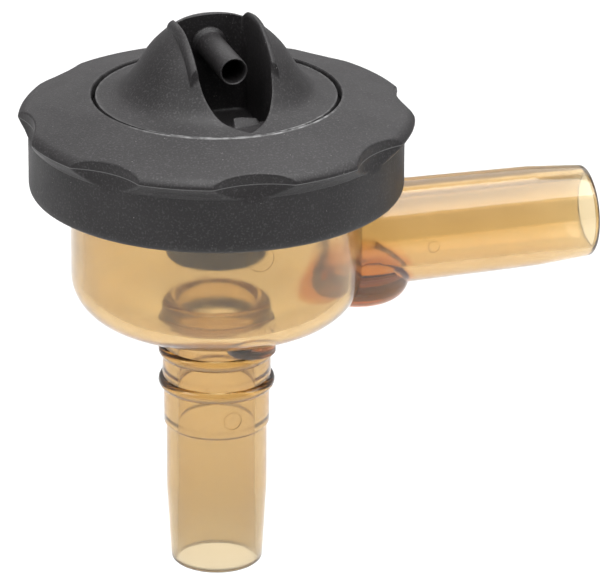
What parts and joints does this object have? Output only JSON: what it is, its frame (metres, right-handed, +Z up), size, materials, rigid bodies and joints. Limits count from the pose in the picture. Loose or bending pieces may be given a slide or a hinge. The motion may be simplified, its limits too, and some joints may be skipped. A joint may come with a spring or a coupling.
{
  "type": "diaphragm shut-off valve",
  "caption": "Diaphragm shut-off valve for a milk line: clear amber bowl with outlet and side inlet tubes, screw ring, and hooded cover with a vacuum nipple.",
  "frame": {"origin": "on the bowl's axis, in the middle of the bracket groove between the two beads of the neck", "axes": "+Z up along the bowl's axis, towards the cover; +X along the inlet tube, outwards; the hood's slot opens towards -Y"},
  "size_m": [0.1205, 0.0804, 0.1192],
  "materials": {
    "amber_clear": "clear amber polysulfone, moulded gloss",
    "black_plastic": "fine spark-eroded texture",
    "black_rubber": "smooth moulded rubber",
    "grey_plastic": "plain moulded"
  },
  "bodies": {
    "bowl": {"valve_bowl": "amber_clear", "outlet_tube": "amber_clear", "inlet_tube": "amber_clear", "diaphragm_rim": "black_rubber", "diaphragm_web": "black_rubber"},
    "plug": {"valve_plug": "black_rubber", "support_plate": "grey_plastic"},
    "cover": {"cover": "black_plastic"},
    "ring": {"screw_ring": "black_plastic"}
  },
  "joints": [
    {"name": "plug_stroke", "type": "slide", "parent": "bowl", "child": "plug", "axis": [0, 0, -1], "range_m": [0, 0.0093], "stiffness_N_per_m": 800, "deforming": ["diaphragm_web"]},
    {"name": "cover_lift", "type": "slide", "parent": "bowl", "child": "cover", "axis": [0, 0, 1], "range_m": [0, 0.008]},
    {"name": "ring_turn", "type": "hinge", "parent": "cover", "child": "ring", "pos_m": [0, 0, 0.0543], "axis": [0, 0, 1], "range_deg": [0, 720]}
  ],
  "couplings": [
    {"joint": "ring_turn", "follows": "cover_lift", "rad_per_m": 1570.8}
  ]
}
